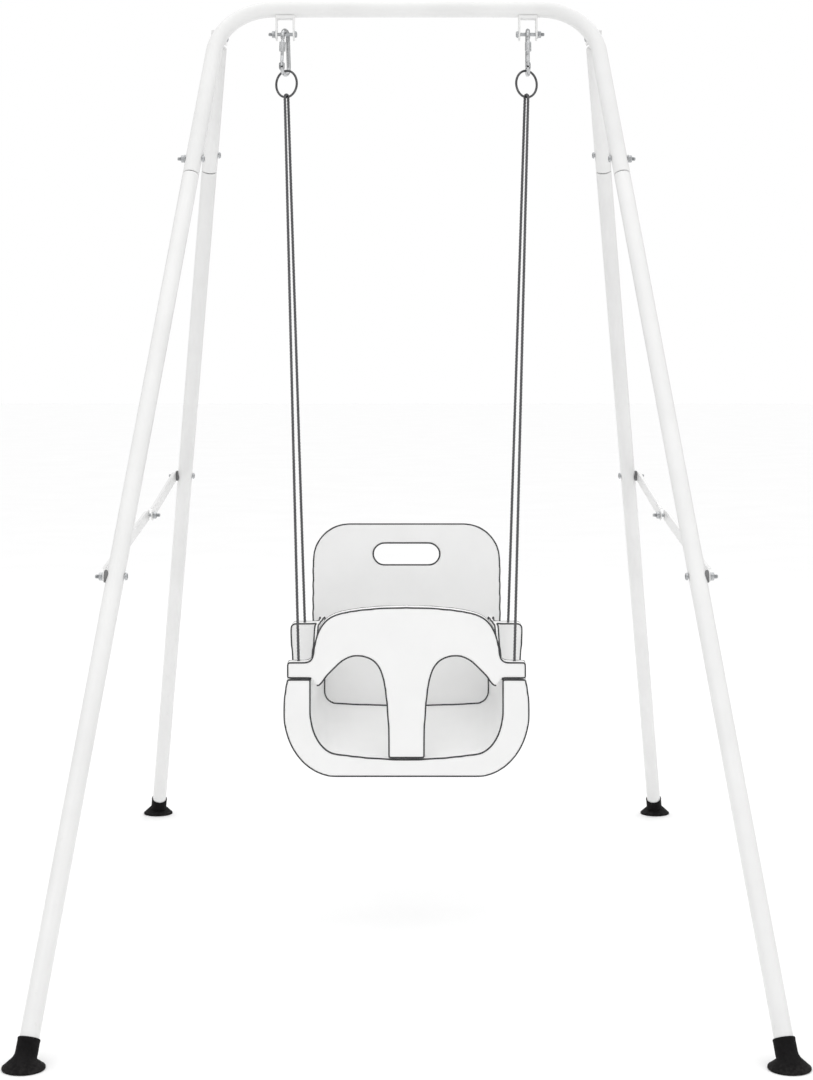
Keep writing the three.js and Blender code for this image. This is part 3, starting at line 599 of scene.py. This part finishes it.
def leg(label, side, name, top, joint_distance, body):
    """A lower leg tube, with a spigot coloured near-black as painted shade, so that the joint shows a painted
    shadow line.
    """
    foot = mounts[f"{name}_foot_{label}_base"]
    joint = toward(top, foot, joint_distance)
    length = (foot - joint).length
    upward = top - foot
    shoulder = length - JOINT_GAP
    profile = [
        (0, FOOT_LEG_END), (TUBE, FOOT_LEG_END), (TUBE, shoulder - TUBE_EDGE),
        (TUBE - 0.0003, shoulder - 0.0002), (TUBE - 0.0009, shoulder), (SPIGOT, shoulder),
    ]
    root = shoulder - 0.0002
    tip = shoulder + 0.026
    spigot = [(0, root), (SPIGOT, root), (SPIGOT, tip), (0, tip)]
    shells = [
        (lathe(foot, upward, profile, TUBE_SIDES), WHITE),
        (lathe(foot, upward, spigot, TUBE_SIDES), SPIGOT_PAINTED_SHADE),
    ]
    place(build(f"{name}_leg_fine_{label}", shells), body, "white_tube", f"{name}_leg_{label}")


def rubber_foot(label, name, top, body):
    """A foot whose rings tilt from flat on the floor to square with the leaning leg."""
    foot = mounts[f"{name}_foot_{label}_base"]
    lean = (top - foot).normalized()
    up = Vector((0, 0, 1))
    # radius, height up the leg, how far the ring has tilted towards the leg
    stations = (
        (0.0265, 0.0, 0), (0.0280, 0.0004, 0), (0.0285, 0.0012, 0), (0.0285, 0.0026, 0),
        (0.0281, 0.0034, 0), (0.0268, 0.0042, 0), (0.0222, 0.0085, 0.12), (0.0176, 0.0126, 0.35),
        (0.0158, 0.0145, 0.6), (0.0150, 0.0172, 0.9), (0.0149, 0.0200, 1), (0.0148, 0.0345, 1),
        (0.0150, 0.0362, 1), (0.0151, 0.0374, 1), (0.0148, 0.0384, 1),
        (0.0143, 0.0389, 1), (0.0137, 0.0386, 1), (0.01325, 0.0375, 1), (0.01325, 0.0150, 1),
    )
    rear = Vector((0, 1, 0))
    hollow = foot + up * 0.0008
    rings = [[hollow]]
    rings.append(ring(hollow, *axes_for(up, rear), 0.018, FOOT_SIDES))
    rings.append(ring(foot, *axes_for(up, rear), 0.020, FOOT_SIDES))
    for radius, height, tilt in stations:
        normal = up.lerp(lean, tilt).normalized()
        centre = foot + up.lerp(lean, tilt) * height
        rings.append(ring(centre, *axes_for(normal, rear), radius, FOOT_SIDES))
    piece = build(f"{name}_foot_fine_{label}", [(skin(rings), FOOT_RUBBER)], 40)
    place(piece, body, "foot_rubber", f"{name}_foot_{label}")


def rear_stub(label, side):
    """The upper rear tube, with the neck and barrel that turn on the hinge pin."""
    hinge = hinge_point(label)
    foot = mounts[f"rear_foot_{label}_base"]
    down = (foot - hinge).normalized()
    top = BARREL + HINGE_SHOULDER
    end = REAR_JOINT
    body_profile = [
        (0, top), (TUBE - 0.0032, top), (TUBE - 0.0017, top + 0.0006),
        (TUBE - 0.0005, top + 0.0020), (TUBE, top + 0.0038), (TUBE, end - TUBE_EDGE),
        (TUBE - TUBE_EDGE, end), (BORE, end), (BORE, end - BORE_DEPTH), (0, end - BORE_DEPTH),
    ]
    neck_profile = [(0, 0.003), (HINGE_NECK, 0.003), (HINGE_NECK, top + 0.002), (0, top + 0.002)]
    half = BARREL_LENGTH / 2
    edge = 0.0008
    eye_profile = [
        (BOLT, -half), (BARREL - edge, -half), (BARREL, edge - half), (BARREL, half - edge),
        (BARREL - edge, half), (BOLT, half),
    ]
    shells = [
        (lathe(hinge, down, body_profile, TUBE_SIDES), WHITE),
        (lathe(hinge, down, neck_profile, 28), WHITE),
        (lathe(hinge, Vector((1, 0, 0)), eye_profile, 36), WHITE),
    ]
    body = f"rear_leg_assembly_{label}"
    piece = build(f"rear_top_tube_fine_{label}", shells)
    place(piece, body, "white_tube", f"rear_top_tube_{label}")


def hinge_rivet(label):
    """The rivet through the hinge, with a domed head on both ears."""
    node = f"hinge_pin_{label}"
    low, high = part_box(node)
    middle = middle_of(node)
    half = (high.x - low.x) / 2
    # radius of the dome, and how far that ring lies in from the rivet's end
    dome = ((0, 0), (0.0018, 0.0001), (0.0034, 0.0006), (0.0046, 0.0014), (0.0050, 0.0026), (BOLT, 0.0026))
    profile = [(radius, inset - half) for radius, inset in dome]
    profile += [(radius, half - inset) for radius, inset in reversed(dome)]
    rivet = lathe(middle, Vector((1, 0, 0)), profile, 28)
    piece = build(f"hinge_rivet_fine_{label}", [(rivet, STEEL)])
    place(piece, "stand", "bolt_steel", node)


# ---------------------------------------------------------------- braces
def stadium(length, half, steps=14):
    """A flat outline with round ends, from one pin to the other, in local (along, across)."""
    points = []
    for i in range(steps + 1):
        angle = math.pi / 2 + math.pi * i / steps
        points.append((half * math.cos(angle), half * math.sin(angle)))
    for i in range(steps + 1):
        angle = -math.pi / 2 + math.pi * i / steps
        points.append((length + half * math.cos(angle), half * math.sin(angle)))
    return points


def channel(start, end, side):
    """A pressed channel between two pins: the web faces the legs and the flanges stand outward."""
    flat = Vector((0, end.y - start.y, end.z - start.z))
    length = flat.length
    across = Vector((side, 0, 0)).cross(flat).normalized()

    def at(along, over, depth):
        return start.lerp(end, along / length) + across * over + Vector((side * depth, 0, 0))

    edge = 0.0004
    rings = []
    for half, depth in (
        (LINK_HALF - edge, 0), (LINK_HALF, edge),
        (LINK_HALF, LINK_WEB - edge), (LINK_HALF - edge, LINK_WEB),
    ):
        rings.append([at(along, over, depth) for along, over in stadium(length, half)])
    rib = []
    inset = 0.03
    for half, rise in ((0.0040, -0.0002), (0.0030, 0.0005), (0.0020, 0.0007)):
        outline = stadium(length - 2 * inset, half)
        rib.append([at(along + inset, over, LINK_WEB + rise) for along, over in outline])
    shells = [(skin(rings), WHITE), (skin(rib), WHITE)]
    first, last = LINK_FLANGE_START, length - LINK_FLANGE_START
    slope = 0.005
    root = LINK_WEB / 2
    for sign in (-1, 1):
        flange = []
        for along, taper in ((first, 0.3), (first + slope, 1), (last - slope, 1), (last, 0.3)):
            high = root + (LINK_DEPTH - root) * taper
            over_out = sign * LINK_HALF
            over_in = sign * (LINK_HALF - LINK_FLANGE)
            flange.append([
                at(along, over_in, root), at(along, over_in, high - edge),
                at(along, over_in + sign * edge, high), at(along, over_out - sign * edge, high),
                at(along, over_out, high - edge), at(along, over_out, root),
            ])
        shells.append((skin(flange), WHITE))
    return shells


def braces(label, side):
    """The two links of one side and the two halves of their middle bolt."""
    front_pin = Vector(joints[f"{label}_front_brace_fold"]["pos_m"])
    rear_pin = Vector(joints[f"{label}_rear_brace_fold"]["pos_m"])
    middle = middle_of(f"brace_bolt_head_{label}")
    mid_face, front_outer = reach_from_middle(f"front_link_{label}", side)
    rear_face = reach_from_middle(f"rear_link_{label}", side)[0]
    front_at = Vector((side * (front_outer - LINK_DEPTH), front_pin.y, front_pin.z))
    rear_at = Vector((side * rear_face, rear_pin.y, rear_pin.z))
    mid_front = Vector((side * mid_face, middle.y, middle.z))
    mid_rear = Vector((side * rear_face, middle.y, middle.z))
    front_link = build(f"front_link_fine_{label}", channel(front_at, mid_front, side))
    rear_link = build(f"rear_link_fine_{label}", channel(rear_at, mid_rear, side))
    place(front_link, f"front_brace_{label}", "white_tube", f"front_link_{label}")
    place(rear_link, f"rear_brace_{label}", "white_tube", f"rear_link_{label}")

    outward = Vector((side, 0, 0))
    head_at = mid_front + outward * (LINK_WEB + PLAY)
    shank = lathe(mid_front, outward, [(0, 0), (BOLT, 0), (BOLT, LINK_WEB + PLAY)], 24)
    shells = [(socket_head(head_at, outward), STEEL), (shank, STEEL)]
    head = build(f"brace_bolt_head_fine_{label}", shells)
    place(head, f"front_brace_{label}", "bolt_steel", f"brace_bolt_head_{label}")
    nut_at = mid_rear - outward * PLAY
    tip_at = nut_at - outward * NUT_HEIGHT
    near = reach_from_middle(f"brace_bolt_nut_{label}", side)[0]
    tip_length = abs(tip_at.x) - near
    stem = lathe(nut_at, outward, [(0, 0), (BOLT, 0), (BOLT, LINK_DEPTH), (0, LINK_DEPTH)], 24)
    shells = [
        (hex_nut(nut_at, -outward), STEEL),
        (thread(tip_at, -outward, tip_length), STEEL),
        (stem, STEEL),
    ]
    nut = build(f"brace_bolt_nut_fine_{label}", shells)
    place(nut, f"rear_brace_{label}", "bolt_steel", f"brace_bolt_nut_{label}")


# ---------------------------------------------------------------- snap hooks and rings
def hook_frame(side):
    """Where a snap hook hangs: its centre, and the turn of its plane about Z."""
    low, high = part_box("carabiner_right")
    centre = Vector((side * HOOK_X, 0, (low.z + high.z) / 2))
    turn = Matrix.Rotation(math.radians(HOOK_TURN if side < 0 else 0), 3, "Z")
    return centre, turn


def snap_hook(label, side):
    """The bent wire of a snap hook, with its nose, its forked heel and the gate's rivet."""
    centre, turn = hook_frame(side)
    low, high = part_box(f"carabiner_{label}")
    reach = (high.z - low.z) / 2 - WIRE
    top_z = reach - HOOK_TOP
    bottom_z = HOOK_BOTTOM - reach
    steps = 22
    path = [Vector((0, -HOOK_TOP, GATE_END)), Vector((0, -HOOK_TOP, GATE_END + 0.003))]
    for radius, level, begin in ((HOOK_TOP, top_z, math.pi), (HOOK_BOTTOM, bottom_z, 0)):
        for i in range(steps + 1):
            angle = begin - math.pi * i / steps
            path.append(Vector((0, radius * math.cos(angle), level + radius * math.sin(angle))))
    path[-1].z = GATE_PIVOT - 0.0046
    radii = [WIRE] * len(path)
    radii[0] = WIRE * 0.86
    radii[-1] = WIRE * 0.9
    points, faces = sweep(path, radii, 20, Vector((1, 0, 0)))
    rivet_half = 0.0042
    rivet_start = Vector((-rivet_half, -HOOK_BOTTOM, GATE_PIVOT))
    rivet_profile = [
        (0, 0), (0.0012, 0.0001), (0.0017, 0.0006),
        (0.0017, 0.0078), (0.0012, 0.0083), (0, 2 * rivet_half),
    ]
    rivet = lathe(rivet_start, Vector((1, 0, 0)), rivet_profile, 20)
    shells = []
    for shell in ((points, faces), rivet, *heel_cheeks()):
        shells.append((([centre + turn @ point for point in shell[0]], shell[1]), HOOK_STEEL))
    piece = build(f"snap_hook_fine_{label}", shells)
    place(piece, "swing", "snap_hook_steel", f"carabiner_{label}")


def heel_cheeks():
    """Two flattened cheeks that hold the gate's rivet on either side of the gate."""
    radius = 0.0031
    sides = 24
    cheeks = []
    for sign in (-1, 1):
        rings = []
        for x, size in ((0.0030, 0.9), (0.0033, 1), (0.0037, 1), (0.0040, 0.9)):
            outline = []
            for i in range(sides):
                angle = 2 * math.pi * i / sides
                y = radius * size * math.cos(angle)
                z = radius * size * math.sin(angle)
                drop = 0.0055 if z < 0 else 0
                outline.append(Vector((sign * x, y - HOOK_BOTTOM, z + GATE_PIVOT - drop)))
            rings.append(outline)
        cheeks.append(skin(rings))
    return cheeks


def snap_gate(label, side):
    """The gate: a pin with a knurled screw sleeve."""
    centre, turn = hook_frame(side)
    bottom = Vector((0, -HOOK_BOTTOM, GATE_PIVOT))
    top = Vector((0, -HOOK_TOP, GATE_END - 0.0006))
    length = (top - bottom).length
    sleeve_top = length - 0.004
    sleeve_low = sleeve_top - 0.016
    sleeve = 0.0052
    band = 0.0016
    pitch = 0.0012

    def knurl(angle, height):
        return 1 + 0.03 * math.cos(18 * angle)

    pin = [
        (0, -0.003), (0.0018, -0.0029), (GATE_PIN, -0.0022),
        (GATE_PIN, sleeve_low - 0.0004), (GATE_PIN, length - 0.0004),
        (0.0022, length), (0, length),
    ]
    threads = [(0.0022, 0.005)]
    count = 8
    for i in range(count):
        threads.append((0.0029, 0.0055 + i * pitch))
        threads.append((GATE_PIN, 0.0061 + i * pitch))
    threads.append((0.0022, 0.0062 + count * pitch))
    # radius of a plain band at the end of the sleeve, and how far in from that end
    end_band = (
        (GATE_PIN, 0), (sleeve * 0.9, 0), (sleeve, 0.0007), (sleeve, 0.0013), (sleeve * 0.96, band),
    )
    collar = [(radius, sleeve_low + inset) for radius, inset in end_band]
    crown = [(radius, sleeve_top - inset) for radius, inset in reversed(end_band)]
    grip = [(sleeve * 0.97, sleeve_low + band), (sleeve * 0.97, sleeve_top - band)]
    direction = top - bottom
    hint = Vector((1, 0, 0))
    parts = [
        lathe(bottom, direction, pin, 28, hint), lathe(bottom, direction, threads, 28, hint),
        lathe(bottom, direction, collar, 36, hint), lathe(bottom, direction, grip, 108, hint, knurl),
        lathe(bottom, direction, crown, 36, hint),
    ]
    shells = []
    for points, faces in parts:
        shells.append((([centre + turn @ point for point in points], faces), HOOK_STEEL))
    piece = build(f"snap_gate_fine_{label}", shells, 50)
    place(piece, f"gate_{label}", "snap_hook_steel", f"carabiner_gate_{label}")


def ring_axis(side):
    """The direction that a ring's hole faces."""
    return Matrix.Rotation(math.radians(side * RING_TURN), 3, "Z") @ Vector((0, 1, 0))


def rope_ring(label, side):
    """A welded wire ring, a little thicker at its weld."""
    middle = middle_of(f"ring_{label}")
    axis = ring_axis(side)
    up = Vector((0, 0, 1))
    tangent = axis.cross(up)
    steps = 72
    weld = 20
    path = []
    radii = []
    for i in range(steps):
        angle = 2 * math.pi * i / steps
        path.append(middle + (tangent * math.cos(angle) + up * math.sin(angle)) * RING)
        radii.append(RING_WIRE * (1 + 0.09 * math.exp(-((i - weld) ** 2) / 2)))
    rings = []
    for i, point in enumerate(path):
        outward = (point - middle).normalized()
        rings.append(ring(point, outward, axis, radii[i], 18))
    piece = build(f"rope_ring_fine_{label}", [(skin(rings, True), RING_STEEL)], 60)
    place(piece, "swing", "ring_steel", f"ring_{label}")


# ---------------------------------------------------------------- ropes
def rope_path(label, side):
    """From the seat's front socket, up over the ring's lowest wire and down to the rear socket."""
    ring_middle = middle_of(f"ring_{label}")
    wire = ring_middle - Vector((0, 0, RING))
    axis = ring_axis(side)
    bend = RING_WIRE + ROPE + ROPE_CLEAR
    socket_inset = 0.001
    ends = {}
    for name, anchor in (("front", FRONT_ANCHOR), ("rear", REAR_ANCHOR)):
        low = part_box(f"{name}_rope_{label}")[0].z + socket_inset
        ends[name] = Vector((side * anchor.x, anchor.y, low))
    over = []
    steps = 12
    for i in range(steps + 1):
        angle = math.pi * i / steps
        over.append(wire - axis * (bend * math.cos(angle)) + Vector((0, 0, bend * math.sin(angle))))
    corners = (ends["front"], over[0], over[-1], ends["rear"])
    spacing = 0.0015
    path = []
    for start, end, inner in ((corners[0], corners[1], over[1:]), (corners[2], corners[3], [])):
        count = round((end - start).length / spacing)
        first = 0 if not path else 1
        path.extend(start.lerp(end, i / count) for i in range(first, count + 1))
        path.extend(inner)
    return path


def rope(label, side):
    """A three-strand laid rope, twisted along its whole length."""
    path = rope_path(label, side)
    frames = transported(path, Vector((1, 0, 0)))
    rings = []
    travelled = 0.0
    for i, point in enumerate(path):
        if i:
            travelled += (point - path[i - 1]).length
        twist = 2 * math.pi * travelled / ROPE_PITCH

        def strand(angle, turn=twist):
            return ROPE * (0.80 + 0.28 * abs(math.cos(1.5 * (angle - turn))))

        rings.append(ring(point, *frames[i], strand, 24))
    piece = build(f"rope_{label}", [(skin(rings), FIBRE)], 70)
    place(piece, "swing", "rope", f"front_rope_{label}", f"rear_rope_{label}")


# ---------------------------------------------------------------- seat and guard
def edge_lines(node, angle, shortest):
    """The sharp edges of a CAD node as chains of points."""
    piece = node_copy(node, "edges")
    work = bmesh.new()
    work.from_mesh(piece.data)
    links = {}
    for edge in work.edges:
        if len(edge.link_faces) == 2 and edge.calc_face_angle(0) > math.radians(angle):
            for vert in edge.verts:
                links.setdefault(vert.index, []).append(edge.other_vert(vert).index)
    work.verts.ensure_lookup_table()
    places = {index: work.verts[index].co.copy() for index in links}
    work.free()
    bpy.data.objects.remove(piece)
    used = set()
    chains = []
    starts = sorted(links, key=lambda index: (len(links[index]) == 2, index))
    for start in starts:
        for neighbour in links[start]:
            if frozenset((start, neighbour)) in used:
                continue
            chain = [start, neighbour]
            used.add(frozenset(chain))
            while len(links[chain[-1]]) == 2 and chain[-1] != start:
                after = [i for i in links[chain[-1]] if frozenset((chain[-1], i)) not in used]
                if not after:
                    break
                used.add(frozenset((chain[-1], after[0])))
                chain.append(after[0])
            points = [places[index] for index in chain]
            length = sum((b - a).length for a, b in zip(points, points[1:]))
            if length > shortest:
                chains.append((points, chain[0] == chain[-1]))
    return chains


def resampled(points, spacing):
    """The same line with points added, so that none are much more than a spacing apart."""
    made = []
    for start, end in zip(points, points[1:]):
        count = max(1, round((end - start).length / spacing))
        made.extend(start.lerp(end, i / count) for i in range(count))
    made.append(points[-1].copy())
    return made


def painted_shade_bead(node, moulding, name, body):
    """A thin dark bead along every sharp edge, laid on the moulding's rounded surface; its dark colour is painted
    shade that draws the shading at the edges as outlines.
    """
    tree = BVHTree.FromObject(moulding, bpy.context.evaluated_depsgraph_get())
    shells = []
    for points, looped in edge_lines(node, EDGE_ANGLE, EDGE_SHORTEST):
        path = []
        for point in resampled(points, EDGE_SPACING):
            found = tree.find_nearest(point)
            path.append(found[0])
        if looped:
            path.pop()
        eased = path
        for _ in range(2):
            count = len(eased)
            eased = [
                point if not looped and i in (0, count - 1)
                else (eased[i - 1] + point * 2 + eased[(i + 1) % count]) / 4
                for i, point in enumerate(eased)
            ]
        hint = Vector((0.31, 0.52, 0.79))  # off every axis
        shells.append((sweep(eased, SHADE_BEAD_RADIUS, 8, hint, looped), PAINTED_OUTLINE_SHADE))
    # this dark bead is painted outline shade, though its slot name says saddle rubber
    return place(build(name, shells, 60), body, "saddle_rubber")


def mouldings():
    """The seat shell and the guard that slides on the front ropes."""
    for node, name, body in (
        ("seat_shell", "seat_moulding", "swing"), ("seat_guard", "guard_moulding", "guard"),
    ):
        moulding = softened(node, name, SEAT_VOXEL, 5, PLASTIC)
        place(moulding, body, "seat_plastic", node)
        painted_shade_bead(node, moulding, f"{name}_painted_shade_outline", body)


# ---------------------------------------------------------------- brackets and saddles
def brackets(label):
    """The pressed brackets and rubber saddles of one side, with their edges rounded."""
    rear_body = f"rear_leg_assembly_{label}"
    for node, body, voxel, slot, material in (
        (f"hinge_bracket_{label}", "stand", 0.0006, "white_tube", WHITE),
        (f"hanger_bracket_{label}", "stand", 0.0007, "white_tube", WHITE),
        (f"front_saddle_{label}", "stand", 0.0006, "saddle_rubber", SADDLE_RUBBER),
        (f"rear_saddle_{label}", rear_body, 0.0006, "saddle_rubber", SADDLE_RUBBER),
    ):
        piece = softened(node, node.replace(f"_{label}", f"_fine_{label}"), voxel, 3, material)
        place(piece, body, slot, node)


# ---------------------------------------------------------------- floor and light
def floor():
    """A plain pale floor, far wider than the views need."""
    half = 30
    signs = ((-1, -1), (1, -1), (1, 1), (-1, 1))
    corners = [Vector((x * half, y * half, 0)) for x, y in signs]
    paint = Paint("pale_floor", 0.9)
    clouds = paint.range(paint.noise(3, 3), 0.3, 0.7)
    tone = paint.blend(clouds, (0.93, 0.93, 0.93), (0.95, 0.95, 0.95))
    made = build("floor", [((corners, [(0, 1, 2, 3)]), paint.finish(tone))])


def area_light(name, location, target, size, power):
    data = bpy.data.lights.new(name, "AREA")
    data.shape = "RECTANGLE"
    data.size, data.size_y = size
    data.energy = power
    lamp = bpy.data.objects.new(name, data)
    lamp.location = location
    lamp.rotation_euler = (Vector(target) - Vector(location)).to_track_quat("-Z", "Y").to_euler()
    bpy.context.scene.collection.objects.link(lamp)


def studio():
    """Soft light all round, brighter from above, with broad lamps for shape."""
    world = bpy.data.worlds.new("studio")
    bpy.context.scene.world = world
    world.use_nodes = True
    nodes = world.node_tree.nodes
    links = world.node_tree.links
    background = nodes["Background"]
    background.inputs["Color"].default_value = (1, 1, 1, 1)
    direction = nodes.new("ShaderNodeTexCoord").outputs["Generated"]
    split = nodes.new("ShaderNodeSeparateXYZ")
    links.new(direction, split.inputs["Vector"])
    rising = nodes.new("ShaderNodeMapRange")
    rising.inputs["To Min"].default_value = SKY_LOW
    rising.inputs["To Max"].default_value = SKY_HIGH
    links.new(split.outputs["Z"], rising.inputs["Value"])
    seen = nodes.new("ShaderNodeLightPath").outputs["Is Camera Ray"]
    strength = nodes.new("ShaderNodeMapRange")
    links.new(rising.outputs["Result"], strength.inputs["To Min"])
    strength.inputs["To Max"].default_value = 1.0
    links.new(seen, strength.inputs["Value"])
    links.new(strength.outputs["Result"], background.inputs["Strength"])
    area_light("key", (-1.6, -3.2, 3.2), (0, 0, 0.8), (2.4, 2.0), 12)
    area_light("fill", (2.6, -2.6, 2.0), (0, 0, 0.7), (2.2, 2.2), 7)
    area_light("top", (0, 0.4, 4.2), (0, 0, 0), (3.6, 3.6), 12)
    area_light("back", (0.8, 3.6, 2.6), (0, 0, 0.8), (2.4, 2.0), 8)


# ---------------------------------------------------------------- the whole model
bpy.context.scene.view_settings.view_transform = "Standard"
for label, side in SIDES:
    rope(label, side)
top_tube()
for label, side in SIDES:
    rear_body = f"rear_leg_assembly_{label}"
    leg(label, side, "front", front_top(side), FRONT_JOINT, "stand")
    leg(label, side, "rear", hinge_point(label), REAR_JOINT, rear_body)
    rubber_foot(label, "front", front_top(side), "stand")
    rubber_foot(label, "rear", hinge_point(label), rear_body)
    rear_stub(label, side)
    hinge_rivet(label)
    cross_bolt(label, side, f"front_joint_bolt_{label}", "stand")
    cross_bolt(label, side, f"rear_joint_bolt_{label}", rear_body)
    cross_bolt(label, side, f"front_brace_bolt_{label}", "stand")
    cross_bolt(label, side, f"rear_brace_bolt_{label}", rear_body)
    cross_bolt(label, side, f"hanger_bolt_{label}", "stand")
    braces(label, side)
    brackets(label)
    snap_hook(label, side)
    snap_gate(label, side)
    rope_ring(label, side)
mouldings()
floor()
studio()
